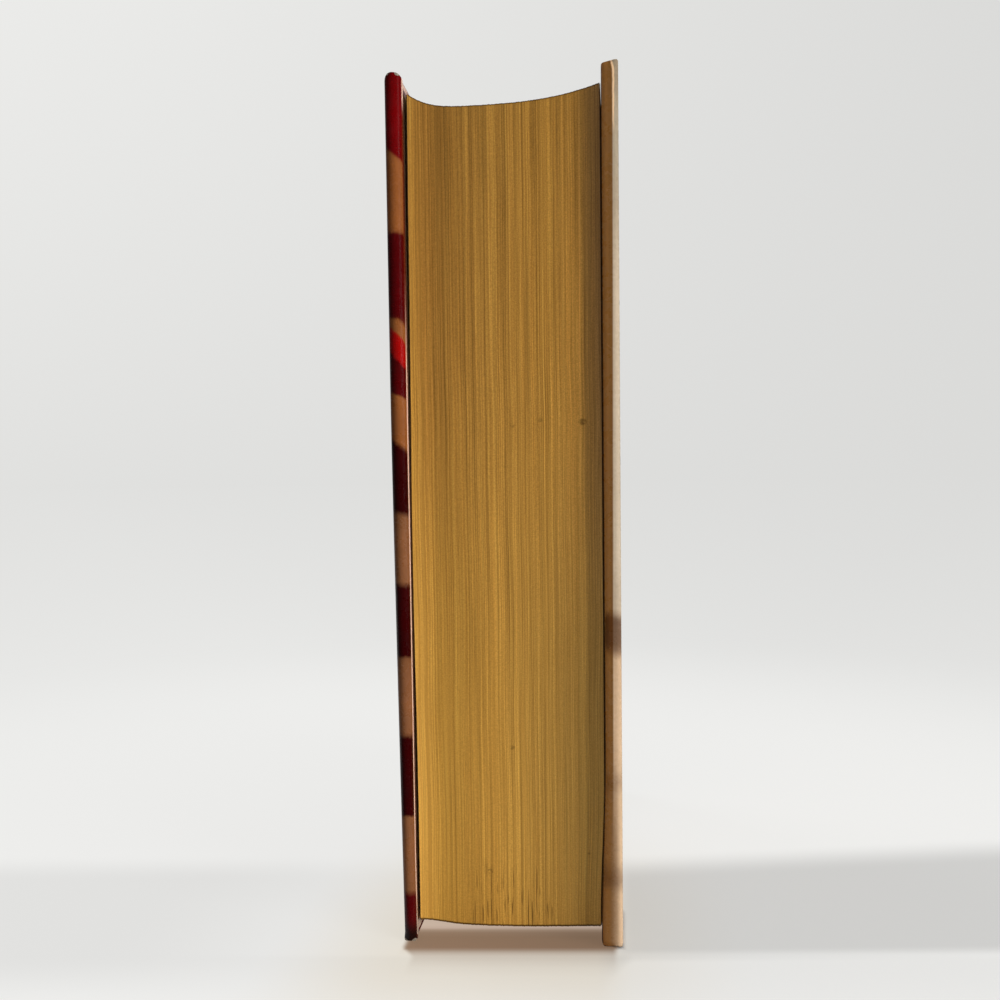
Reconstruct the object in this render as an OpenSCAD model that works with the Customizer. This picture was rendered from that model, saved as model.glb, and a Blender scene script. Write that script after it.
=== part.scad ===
// Case-bound book standing on its tail, with its fore edge towards -Y and its front cover on the -X side.
// Height is along Z, thickness along X and the width of the leaves along Y.

/* [Page block] */
// Height of the trimmed leaves
leaf_h = 198; // [120:1:300]
// Width of a leaf from its fold to the fore edge
leaf_w = 129; // [90:1:220]
// Thickness of all the leaves pressed together
block_t = 44.7; // [20:0.1:60]
// Number of folded sections sewn into the block
sections = 24; // [10:1:36]
// Depth of the hollow in the fore edge
hollow = 3.5; // [1:0.1:8]
// Distance of the hollow's deepest line from the middle, towards the front cover
hollow_shift = 7; // [0:0.5:8]
// Rise of the rounded spine above its shoulders
spine_round = 5.5; // [3:0.1:10]
// Width by which each backed shoulder stands out from the block
shoulder = 3.2; // [2.4:0.1:4.5]

/* [Spine linings] */
// Thickness of the open-weave cloth on the spine and under the pastedowns
mull_t = 0.3; // [0.2:0.05:0.5]
// Width of the cloth on the inside of each board
mull_flange = 22; // [12:1:35]
// Thickness of the kraft paper that lines the spine
liner_t = 0.4; // [0.2:0.05:0.8]
// Distance by which the kraft paper stops short of the head and the tail
liner_short = 2; // [1:0.5:8]
// Radius of the bead of the head and tail bands
bead_r = 1.1; // [0.7:0.1:1.5]
// Height of the tape that holds a bead on the spine
band_tape_h = 10; // [6:1:14]
// Clearance between the cloth on the spine and the tape of each band
mull_clear = 1; // [0.5:0.5:4]

/* [Case] */
// Thickness of each board
board_t = 3.2; // [2:0.1:4]
// Distance by which the boards stand out beyond the leaves at head, tail and fore edge
square_w = 4; // [3:0.5:6]
// Radius of the softened long edges of a board
board_edge_r = 1.4; // [0.5:0.1:1.4]
// Radius of the corners of a board at its fore edge
board_corner_r = 2; // [1.5:0.1:5]
// Thickness of the printed and laminated paper over the boards
case_paper_t = 0.3; // [0.2:0.05:0.5]
// Width of the case paper folded over onto the inside of the boards
turn_in_w = 15; // [10:1:20]
// Thickness of the card strip inside the spine of the case
inlay_t = 0.8; // [0.5:0.1:1.5]
// Distance by which the card strip stops short of each shoulder
inlay_short = 2.5; // [2:0.1:6]
// Free space between the lined spine of the block and the case
back_gap = 0.3; // [0.2:0.05:0.8]

/* [Joints and endpapers] */
// Thickness of an endpaper leaf
endpaper_t = 0.25; // [0.15:0.05:0.4]
// Air between a closed cover and its flyleaf
cover_gap = 0.3; // [0.25:0.05:1]
// Inner radius of the groove pressed along each joint
groove_r = 2.8; // [2:0.1:4]
// Clearance between the flexible joint and the cover that it carries
joint_gap = 0.3; // [0.25:0.05:0.6]

/* [Hidden] */
$fn = 96;

// Longer than any part of the book, for cuts that run right through
through = 2 * (leaf_h + leaf_w);

// Places across the thickness, from the middle of the block out to the face of a cover
page_half = block_t / 2;
spine_half = page_half + shoulder;
inlay_half = spine_half - inlay_short;
flyleaf_x = page_half + endpaper_t;
pastedown_x = flyleaf_x + cover_gap;
lining_x = pastedown_x + endpaper_t;
lining_t = max(case_paper_t, mull_t);
board_x = lining_x + lining_t;
case_x = board_x + board_t + case_paper_t;

// Heights, from the tail of the case up
case_h = leaf_h + 2 * square_w;
leaf_top = square_w + leaf_h;
mull_z = square_w + band_tape_h + mull_clear;

// Radii of the layers round the spine, from the folds of the sections out
spine_r = (pow(spine_half, 2) + pow(spine_round, 2)) / (2 * spine_round);
mull_r = spine_r + mull_t;
liner_r = mull_r + liner_t;
spine_turn_in_r = liner_r + back_gap;
inlay_r = spine_turn_in_r + case_paper_t;
paper_in_r = inlay_r + inlay_t;
paper_r = paper_in_r + case_paper_t;

// Places along the width, from the fore edge of the boards to the back of the spine
book_d = square_w + hollow + leaf_w + paper_r - spine_r;
fore_y = -book_d / 2;
leaf_y = fore_y + square_w;
spine_c = leaf_y + hollow + leaf_w - spine_r;
crest_y = spine_c + spine_r - spine_round;

// The groove of a joint, pressed down to the endpapers and up against the shoulder
joint_t = case_paper_t + mull_t + endpaper_t;
groove_out_r = groove_r + joint_t;
groove_x = flyleaf_x + groove_out_r;
groove_y = crest_y - groove_out_r;
cover_y = groove_y - groove_out_r - joint_gap;

// The folds of the sections, side by side round the spine
spine_angle = asin(spine_half / spine_r);
section_angle = 2 * spine_angle / sections;
fold_overlap = 1.06;
fold_r = fold_overlap * spine_r * sin(section_angle / 2);

// Flat outline of a given size with its corners rounded
module rounded_outline(w, h, r) {
    translate([r, 0]) square([w - 2 * r, h]);
    translate([0, r]) square([w, h - 2 * r]);
    for (x = [r, w - r], y = [r, h - r]) translate([x, y]) circle(r);
}

// Slab with rounded long edges, and rounded corners on its -Y side only
module rounded_slab(low, high, edge_r, corner_r) {
    size = high - low;
    translate(low) intersection() {
        linear_extrude(size.z) rounded_outline(size.x, size.y, edge_r);
        translate([0, size.y, 0]) rotate([90, 0, 0]) linear_extrude(size.y) rounded_outline(size.x, size.z, edge_r);
        rotate([90, 0, 90]) linear_extrude(size.x) rounded_outline(size.y + 2 * corner_r, size.z, corner_r);
    }
}

// Part of a ring round the spine's centre, cut off at a given distance each side of the middle
module spine_ring(in_r, out_r, half_w) {
    intersection() {
        translate([0, spine_c]) difference() {
            circle(out_r);
            circle(in_r);
        }
        translate([-half_w, spine_c]) square([2 * half_w, 2 * out_r]);
    }
}

// Page block: sections folded, sewn, rounded and backed

// Space in front of the fore edge, bounded by two arcs that meet at the hollow's deepest line
module fore_edge_hollow() {
    for (side = [-1, 1]) {
        run = page_half + side * hollow_shift;
        r = (pow(run, 2) + pow(hollow, 2)) / (2 * hollow);
        intersection() {
            translate([-hollow_shift, leaf_y + hollow - r]) circle(r);
            translate([-hollow_shift - (side < 0 ? run : 0), leaf_y - hollow]) square([run, 2 * hollow]);
        }
    }
}

// Rounded folds of the sections, fanned out over the spine
module section_folds() {
    translate([0, spine_c])
        for (i = [0 : sections - 1])
            rotate(spine_angle - (i + 0.5) * section_angle) translate([0, spine_r - fold_r]) circle(fold_r);
}

// The block fans out behind the grooves to the width of the backed spine
module fanned_spine() {
    intersection() {
        translate([0, spine_c]) circle(spine_r - fold_r);
        translate([-spine_half, groove_y]) square([2 * spine_half, spine_r]);
    }
    section_folds();
}

module page_block() {
    color("#c2a067")
    translate([0, 0, square_w]) linear_extrude(leaf_h) difference() {
        union() {
            difference() {
                translate([-page_half, leaf_y]) square([block_t, groove_y - leaf_y]);
                fore_edge_hollow();
            }
            fanned_spine();
        }
        for (side = [-1, 1]) translate([side * groove_x, groove_y]) circle(groove_out_r);
    }
}

// Free half of an endpaper, tipped to the block
module flyleaf() {
    translate([page_half, leaf_y, square_w]) cube([endpaper_t, groove_y - leaf_y, leaf_h]);
}

module front_flyleaf() {
    color("#cbb184") mirror([1, 0, 0]) flyleaf();
}

module back_flyleaf() {
    color("#cbb184") flyleaf();
}

// Linings of the spine

// Bead wound round a tape, standing on the head of the block at its spine
module band() {
    band_angle = asin(page_half / spine_r);
    translate([0, spine_c]) rotate(90 - band_angle) rotate_extrude(angle = 2 * band_angle) {
        translate([spine_r - bead_r / 2, leaf_top + bead_r]) circle(bead_r);
        translate([spine_r, leaf_top - band_tape_h]) square([mull_t, band_tape_h + bead_r]);
    }
}

module head_band() {
    color("#8c1d1a") band();
}

module tail_band() {
    color("#8c1d1a") translate([0, 0, case_h]) mirror([0, 0, 1]) band();
}

// The cloth on the spine lies between the two band tapes
module spine_mull() {
    color("#e4dfd0")
    translate([0, 0, mull_z]) linear_extrude(case_h - 2 * mull_z) spine_ring(spine_r, mull_r, spine_half);
}

module spine_liner() {
    color("#a98455")
    translate([0, 0, square_w + liner_short]) linear_extrude(leaf_h - 2 * liner_short)
        spine_ring(mull_r, liner_r, page_half);
}

// Spine of the case

module spine_inlay() {
    color("#8e8577")
    translate([0, 0, case_paper_t]) linear_extrude(case_h - 2 * case_paper_t)
        spine_ring(inlay_r, paper_in_r, inlay_half);
}

// Outline of the case spine in plan, or of the space a given depth below its surface
module spine_outline(inset) {
    r = paper_r - inset;
    half = groove_x - inset;
    turn_r = board_edge_r + case_paper_t - inset;
    turn_x = half - turn_r;
    turn_y = spine_c + sqrt(pow(r - turn_r, 2) - pow(turn_x, 2));
    tangent_x = turn_x * r / (r - turn_r);
    intersection() {
        translate([0, spine_c]) circle(r);
        translate([-tangent_x, crest_y]) square([2 * tangent_x, r]);
    }
    translate([-half, crest_y]) square([2 * half, turn_y - crest_y]);
    for (side = [-1, 1]) translate([side * turn_x, turn_y]) circle(turn_r);
}

// Printed paper over the spine, folded in over both ends of the card strip
module spine_case_paper() {
    color("#6a0f10") {
        linear_extrude(case_h) difference() {
            spine_outline(0);
            spine_outline(case_paper_t);
            translate([-through / 2, crest_y - through]) square([through, through]);
        }
        for (z = [0, case_h - case_paper_t])
            translate([0, 0, z]) linear_extrude(case_paper_t)
                spine_ring(spine_turn_in_r, paper_in_r + case_paper_t / 2, inlay_half);
        for (z = [0, case_h - turn_in_w])
            translate([0, 0, z]) linear_extrude(turn_in_w) spine_ring(spine_turn_in_r, inlay_r, inlay_half);
    }
}

// Flexible joints

// Case paper, cloth and endpaper pressed together in the groove
module joint_strip() {
    linear_extrude(case_h) intersection() {
        translate([groove_x, groove_y]) difference() {
            circle(groove_out_r);
            circle(groove_r);
        }
        translate([groove_x - groove_out_r, groove_y - groove_out_r]) square([groove_out_r, 2 * groove_out_r]);
    }
}

module front_joint() {
    color("#5c0d0e") mirror([1, 0, 0]) joint_strip();
}

module back_joint() {
    color("#8d6f49") joint_strip();
}

// Covers, drawn on the +X side and mirrored for the front

module cover_board() {
    rounded_slab(
        [board_x, fore_y + case_paper_t, case_paper_t],
        [board_x + board_t, cover_y - case_paper_t, case_h - case_paper_t],
        board_edge_r, board_corner_r
    );
}

// Cloth flange pasted to the inside of the board between the turn-ins
module cover_mull() {
    translate([board_x - mull_t, cover_y - case_paper_t - mull_flange, turn_in_w])
        cube([mull_t, mull_flange, case_h - 2 * turn_in_w]);
}

// Paper round the outside and all edges of the board, turned in on three sides of the inside
module cover_paper() {
    difference() {
        rounded_slab(
            [board_x - case_paper_t, fore_y, 0],
            [case_x, cover_y, case_h],
            board_edge_r + case_paper_t, board_corner_r + case_paper_t
        );
        cover_board();
        translate([board_x - 2 * case_paper_t, fore_y + turn_in_w, turn_in_w])
            cube([2 * case_paper_t, through, case_h - 2 * turn_in_w]);
    }
}

// Pasted half of an endpaper, over the turn-ins and down onto the board between them
module cover_pastedown() {
    translate([pastedown_x, leaf_y, square_w]) cube([endpaper_t, cover_y - leaf_y, leaf_h]);
    translate([lining_x, fore_y + turn_in_w, turn_in_w])
        cube([lining_t, cover_y - case_paper_t - mull_flange - fore_y - turn_in_w, case_h - 2 * turn_in_w]);
}

module front_board() {
    color("#8e8577") mirror([1, 0, 0]) cover_board();
}

module front_mull() {
    color("#e4dfd0") mirror([1, 0, 0]) cover_mull();
}

module front_case_paper() {
    color("#7a1011") mirror([1, 0, 0]) cover_paper();
}

module front_pastedown() {
    color("#cbb184") mirror([1, 0, 0]) cover_pastedown();
}

module back_board() {
    color("#8e8577") cover_board();
}

module back_mull() {
    color("#e4dfd0") cover_mull();
}

module back_case_paper() {
    color("#d8c3a0") cover_paper();
}

module back_pastedown() {
    color("#cbb184") cover_pastedown();
}

page_block();
front_flyleaf();
back_flyleaf();
head_band();
tail_band();
spine_mull();
spine_liner();
spine_inlay();
spine_case_paper();
front_joint();
back_joint();
front_board();
front_mull();
front_case_paper();
front_pastedown();
back_board();
back_mull();
back_case_paper();
back_pastedown();
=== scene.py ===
"""Case-bound book standing on its tail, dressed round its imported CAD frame.

The page block is sewn, rounded and backed, and yellowed with age. The case has boards in laminated
printed paper, with a pressed joint along each side of the spine. Lengths in the code are millimetres
until MM turns them to metres.
"""

import math
from functools import partial

import bmesh
import bpy
import numpy as np
from bpy.props import FloatProperty, FloatVectorProperty, IntProperty, PointerProperty
from mathutils import Matrix, Vector


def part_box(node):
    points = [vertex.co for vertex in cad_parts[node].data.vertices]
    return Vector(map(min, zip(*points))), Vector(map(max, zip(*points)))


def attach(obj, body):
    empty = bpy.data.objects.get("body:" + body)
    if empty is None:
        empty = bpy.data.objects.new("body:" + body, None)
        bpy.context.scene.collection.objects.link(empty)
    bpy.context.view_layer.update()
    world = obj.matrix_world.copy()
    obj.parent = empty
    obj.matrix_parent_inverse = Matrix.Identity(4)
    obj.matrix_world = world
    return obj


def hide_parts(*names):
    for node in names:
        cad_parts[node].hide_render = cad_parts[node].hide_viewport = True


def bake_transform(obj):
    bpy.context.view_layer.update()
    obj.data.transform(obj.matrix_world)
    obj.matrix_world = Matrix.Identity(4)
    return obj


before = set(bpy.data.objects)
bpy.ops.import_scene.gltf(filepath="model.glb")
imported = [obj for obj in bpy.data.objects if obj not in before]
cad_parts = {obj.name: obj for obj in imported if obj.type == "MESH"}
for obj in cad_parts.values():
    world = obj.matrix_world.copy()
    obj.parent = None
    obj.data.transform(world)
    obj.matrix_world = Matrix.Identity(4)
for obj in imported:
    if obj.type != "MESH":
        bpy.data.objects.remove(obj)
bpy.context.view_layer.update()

bl_info = {
    "name": "Case-bound book",
    "version": (1, 0, 0),
    "blender": (4, 5, 0),
    "location": "View3D > Sidebar > Book",
    "description": "Leaves, endpapers, bands and a laminated case for a book that stands on its tail",
    "category": "Object",
}

MM = 0.001


def box_mm(node):
    """Lowest and highest corner of a CAD node, in millimetres."""
    return [np.array(corner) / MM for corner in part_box(node)]


BLOCK_LOW, BLOCK_HIGH = box_mm("page_block")
FLYLEAF_LOW, FLYLEAF_HIGH = box_mm("back_flyleaf")
PASTEDOWN_LOW, PASTEDOWN_HIGH = box_mm("back_pastedown")
COVER_LOW, COVER_HIGH = box_mm("back_case_paper")
JOINT_HIGH = box_mm("back_joint")[1]
SPINE_LOW, SPINE_HIGH = box_mm("spine_case_paper")
INLAY_HIGH = box_mm("spine_inlay")[1]
BOARD_LOW, BOARD_HIGH = box_mm("back_board")

PAGE_HALF = FLYLEAF_LOW[0]
SHOULDER_HALF = BLOCK_HIGH[0]
LEAF_Y = BLOCK_LOW[1]
LEAF_Z, LEAF_TOP = BLOCK_LOW[2], BLOCK_HIGH[2]
GROOVE_Y = FLYLEAF_HIGH[1]
CREST_Y = SPINE_LOW[1]
CASE_HEIGHT = SPINE_HIGH[2]

# The rounded spine is one arc, from shoulder to shoulder
SPINE_RISE = BLOCK_HIGH[1] - CREST_Y
SPINE_R = (SHOULDER_HALF**2 + SPINE_RISE**2) / (2 * SPINE_RISE)
SPINE_C = BLOCK_HIGH[1] - SPINE_R
SPINE_ANGLE = math.asin(SHOULDER_HALF / SPINE_R)
CASE_R = SPINE_HIGH[1] - SPINE_C

# The groove of a joint is a half circle round this point
GROOVE_X = JOINT_HIGH[0]
GROOVE_R = 2.8

# Radius of a board's corners in its own plane
CORNER_R = 2.3

SIDES = {"front": -1, "back": 1}


# Colours and settings that a user would change


def linear(text):
    """Linear colour with full alpha from an sRGB hex value."""
    channels = [int(text[i : i + 2], 16) / 255 for i in (1, 3, 5)]
    return [c / 12.92 if c <= 0.04045 else ((c + 0.055) / 1.055) ** 2.4 for c in channels] + [1.0]


def colour_setting(name, description, text):
    return FloatVectorProperty(
        name=name, description=description, subtype="COLOR", size=4, min=0, max=1, default=linear(text)
    )


def length_setting(name, description, mm, low, high):
    limits = {"default": mm * MM, "min": low * MM, "max": high * MM}
    return FloatProperty(name=name, description=description, unit="LENGTH", precision=5, **limits)


class BookSizes(bpy.types.PropertyGroup):
    """Sizes of the soft and hand-made parts of the book."""

    hollow: length_setting("Hollow", "Depth of the hollow in the fore edge", 3.5, 1, 8)
    hollow_shift: length_setting("Hollow shift", "How far the hollow lies towards the front cover", 7, 0, 12)
    sag: length_setting("Sag", "How far the middle leaves hang at the fore edge", 2.33, 0, 3.5)
    unevenness: length_setting("Unevenness", "How far single leaves stand proud", 0.12, 0, 0.5)
    turn_in: length_setting("Turn-in", "Case paper folded over onto the inside of a board", 15, 10, 20)
    paper: length_setting("Case paper", "Thickness of the printed and laminated paper", 0.28, 0.1, 0.3)
    endpaper: length_setting("Endpaper", "Thickness of an endpaper leaf", 0.16, 0.1, 0.25)
    thread: length_setting("Thread pitch", "Width of one winding on the head and tail bands", 0.9, 0.4, 2)
    sections: IntProperty(name="Sections", description="Folded sections sewn", default=24, min=10, max=36)


class BookColours(bpy.types.PropertyGroup):
    """Colours of the paper, cloth and print."""

    leaf_light: colour_setting("Leaf, light", "Leaf edges that stand proud", "#c29646")
    leaf_mid: colour_setting("Leaf, middle", "Most of the yellowed leaf edges", "#b1833b")
    leaf_dark: colour_setting("Leaf, dark", "Leaf edges that lie back", "#99702f")
    endpaper: colour_setting("Endpaper", "Plain endpapers", "#c9a877")
    red: colour_setting("Red", "Ground of the front print", "#700003")
    red_bright: colour_setting("Bright red", "Brightest band of the front print", "#a80402")
    red_low: colour_setting("Low red", "Red bands below the head of the front print", "#540003")
    red_dark: colour_setting("Dark red", "Shaded bands of the front print", "#380001")
    tan: colour_setting("Tan", "Light bands of the front print, towards the head", "#98592b")
    tan_dull: colour_setting("Dull tan", "Light bands of the front print, towards the tail", "#8a5836")
    cream: colour_setting("Cream", "Ground of the back print", "#bfae97")
    brown: colour_setting("Brown", "Edges and soft patches of the back print", "#885d2f")
    board: colour_setting("Board", "Grey board inside the covers", "#8e8577")
    cloth: colour_setting("Mull", "Open-weave cotton", "#e4dfd0")
    kraft: colour_setting("Kraft", "Brown paper on the spine", "#a98455")
    floor: colour_setting("Floor", "Floor and backdrop", "#ebebea")


class BookLight(bpy.types.PropertyGroup):
    """Camera and studio light."""

    lens: FloatProperty(name="Lens", description="Focal length", default=39.85, min=20, max=120, unit="CAMERA")
    key: FloatProperty(name="Key", description="Lamp on the right", default=10.5, min=0, max=50, unit="POWER")
    fill: FloatProperty(name="Fill", description="Lamp on the left", default=3.5, min=0, max=50, unit="POWER")
    world: FloatProperty(name="World", description="Even light from all round", default=0.36, min=0, max=2)


# Nodes


# Nodes with a short name: type, inputs in the order that they are filled in, output, and settings
SHORT = {
    "Mix": ("Mix", (0, 6, 7), 2, {"data_type": "RGBA"}),
    "Shade": ("Mix", (0, 6, 7), 2, {"data_type": "RGBA", "blend_type": "MULTIPLY"}),
    "Soft": ("MapRange", (0, 1, 2), 0, {"interpolation_type": "SMOOTHSTEP"}),
    "Noise": ("TexNoise", ("Vector", "Scale", "Detail", "Roughness"), 0, {}),
    "Ramp": ("ValToRGB", (0,), 0, {}),
    "Read": ("Attribute", (), "Fac", {}),
    "Bump": ("Bump", ("Height", "Distance", "Strength"), 0, {}),
}


class Signal:
    """Output of a node in a tree. Arithmetic and soft steps on it add the nodes that do them."""

    def __init__(self, tree, socket):
        self.tree, self.socket = tree, socket

    def __add__(self, other):
        return add(self.tree, "ADD", self, other)

    def __sub__(self, other):
        return add(self.tree, "SUBTRACT", self, other)

    def __rsub__(self, other):
        return add(self.tree, "SUBTRACT", other, self)

    def __mul__(self, other):
        return add(self.tree, "MULTIPLY", self, other)

    def __truediv__(self, other):
        return add(self.tree, "DIVIDE", self, other)

    def __rtruediv__(self, other):
        return add(self.tree, "DIVIDE", other, self)

    def __abs__(self):
        return add(self.tree, "ABSOLUTE", self)

    def soft(self, start, end):
        """0 up to the start, 1 from the end on, and smooth between them. The start may be the higher one."""
        return add(self.tree, "Soft", self, start, end)


def put(socket, value):
    """Links a signal to an input, or sets the input to a plain value."""
    if isinstance(value, Signal):
        value.tree.links.new(value.socket, socket)
    else:
        socket.default_value = value


def add(tree, kind, *values, output=None, stops=(), **settings):
    """Adds a node with its settings and links, and gives an output. A kind in capitals is a Math operation."""
    if kind.isupper():
        kind, settings["operation"] = "Math", kind
    kind, inputs, usual, always = SHORT.get(kind, (kind, range(len(values)), 0, {}))
    made = tree.nodes.new("ShaderNode" + kind)
    for name, value in {**always, **settings}.items():
        setattr(made, name, value)
    for key, value in zip(inputs, values):
        put(made.inputs[key], value)
    for i, (place, colour) in enumerate(stops):
        elements = made.color_ramp.elements
        stop = elements[i] if i < len(elements) else elements.new(1.0)
        stop.position, stop.color = place, colour
    return Signal(tree, made.outputs[usual if output is None else output]) if made.outputs else None


def greys(pairs):
    """Stops of a ramp from places and grey values."""
    return [(place, (value, value, value, 1.0)) for place, value in pairs]


def material(name):
    """New material, with what adds a node to it, and its surface shader."""
    made = bpy.data.materials.new(name)
    made.use_nodes = True
    tree = made.node_tree
    tree.nodes.clear()
    surface = add(tree, "BsdfPrincipled")
    add(tree, "OutputMaterial", surface)
    return made, partial(add, tree), surface


def give(surface, **values):
    """Sets or links inputs of the surface shader, named with underscores for spaces."""
    for name, value in values.items():
        put(surface.socket.node.inputs[name.replace("_", " ")], value)


def object_mm(node):
    """Object coordinates in millimetres."""
    return node("VectorMath", node("TexCoord", output="Object"), (1 / MM,) * 3, operation="MULTIPLY")


def mottled(node, tone, pattern, low, high):
    """Colour that a noise makes darker and lighter."""
    return node("Shade", 1.0, tone, node("Ramp", pattern, stops=greys([(0.3, low), (0.7, high)])))


# Meshes


def active(obj):
    """Leaves one object selected and active."""
    bpy.ops.object.select_all(action="DESELECT")
    obj.select_set(True)
    bpy.context.view_layer.objects.active = obj


def primitive(name, operator, **settings):
    """Adds a primitive by itself, names it and puts its place into its mesh."""
    bpy.ops.object.select_all(action="DESELECT")
    operator(**settings)
    obj = bpy.context.active_object
    obj.name = obj.data.name = name
    bpy.ops.object.transform_apply(location=True, rotation=True, scale=True)
    return obj


def add_box(name, low, high):
    """Box between two corners in millimetres."""
    low, high = Vector(low) * MM, Vector(high) * MM
    cube = bpy.ops.mesh.primitive_cube_add
    return primitive(name, cube, size=1, location=(low + high) / 2, scale=high - low)


def add_sheet(name, columns, rows):
    """Flat unit sheet of paper, whose points are then laid where they belong."""
    grid = bpy.ops.mesh.primitive_grid_add
    return primitive(name, grid, x_subdivisions=columns, y_subdivisions=rows, size=1, location=(0.5, 0.5, 0))


def points_of(obj):
    """Vertices in metres, one row each."""
    flat = np.empty(len(obj.data.vertices) * 3, np.float32)
    obj.data.vertices.foreach_get("co", flat)
    return flat.reshape(-1, 3).astype(float)


def set_points(obj, points):
    obj.data.vertices.foreach_set("co", points.astype(np.float32).ravel())
    obj.data.update()


def attribute(obj, name, values):
    """Stores one number a vertex for the material to read."""
    layer = obj.data.attributes.get(name) or obj.data.attributes.new(name, "FLOAT", "POINT")
    layer.data.foreach_set("value", np.asarray(values, np.float32))


def set_print(obj, u, v):
    """Stores places on a sheet of paper, in millimetres, as two attributes that move with the mesh."""
    attribute(obj, "print_u", u)
    attribute(obj, "print_v", v)


def pick(obj, kind, test):
    """Selects, in edit mode, the vertices, edges or faces that pass a test."""
    bpy.ops.mesh.select_mode(type=kind)
    bpy.ops.mesh.select_all(action="DESELECT")
    mesh = bmesh.from_edit_mesh(obj.data)
    mesh.normal_update()
    for item in {"VERT": mesh.verts, "EDGE": mesh.edges, "FACE": mesh.faces}[kind]:
        if test(item):
            item.select_set(True)
    mesh.select_flush_mode()
    bmesh.update_edit_mesh(obj.data)


def cut_along(obj, axis, *parts):
    """Cuts all edges along an axis into equal parts, more than once where there are several numbers."""
    for count in parts:

        def runs_along(edge):
            run = edge.verts[1].co - edge.verts[0].co
            return abs(run[axis]) > 0.9 * run.length

        pick(obj, "EDGE", runs_along)
        bpy.ops.mesh.subdivide(number_cuts=count - 1)


def in_edit_mode(obj, operator, **settings):
    """Runs one mesh operator on the whole of an object."""
    active(obj)
    bpy.ops.object.mode_set(mode="EDIT")
    bpy.ops.mesh.select_all(action="SELECT")
    operator(**settings)
    bpy.ops.object.mode_set(mode="OBJECT")


def outward(obj):
    """Turns all faces of a closed piece outwards."""
    in_edit_mode(obj, bpy.ops.mesh.normals_make_consistent, inside=False)


def cut_across(ys, zs):
    """Cuts the mesh in edit mode across Y and across Z, at places in millimetres."""
    for axis, places in ((1, ys), (2, zs)):
        for place in places:
            bpy.ops.mesh.select_all(action="SELECT")
            at, normal = [0, 0, 0], [0, 0, 0]
            at[axis], normal[axis] = place * MM, 1
            bpy.ops.mesh.bisect(plane_co=at, plane_no=normal)


def modify(obj, kind, **settings):
    """Adds a modifier and applies it."""
    active(obj)
    made = obj.modifiers.new(kind.title(), kind)
    for name, value in settings.items():
        setattr(made, name, value)
    bpy.ops.object.modifier_apply(modifier=made.name)


def smooth(obj, degrees):
    active(obj)
    bpy.ops.object.shade_smooth_by_angle(angle=math.radians(degrees))


def eased(value):
    """0 to 1 with a soft start and end."""
    t = np.clip(value, 0, 1)
    return t * t * (3 - 2 * t)


def wander(place, seed, waves=((0.9, 1.0), (2.1, 0.5), (4.7, 0.25))):
    """Smooth wandering value between about -1 and 1 along one coordinate."""
    phase = np.random.RandomState(seed).uniform(0, 2 * math.pi, len(waves))
    total = sum(part for _, part in waves)
    return sum(part * np.sin(turns * place + p) for (turns, part), p in zip(waves, phase)) / total


# Leaves


def slackness(x, sizes, front_power, back_power):
    """0 on the outer leaves and 1 on the deepest line of the fore edge. A higher power is flatter there."""
    shift = sizes.hollow_shift / MM
    front = x < -shift
    run = np.where(front, PAGE_HALF - shift, PAGE_HALF + shift)
    return 1 - np.clip(np.abs(x + shift) / run, 0, 1) ** np.where(front, front_power, back_power)


def splay(side, y, z):
    """How far the outermost leaves stand out at the fore edge: a little, and drawn in near the tail."""
    loose = np.exp(-(y - LEAF_Y) / 35)
    if side < 0:
        out = 0.36 * eased(1 - np.abs(z - 95) / 65) - 0.2 * eased((z - 170) / 30)
    else:
        out = 0.3 - 1.0 * (1 - eased((z - 6) / 34))
    return out * loose


# Columns of leaf edges across the block, in groups that stand proud together
COLUMNS = 192
GROUP = 8


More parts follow.
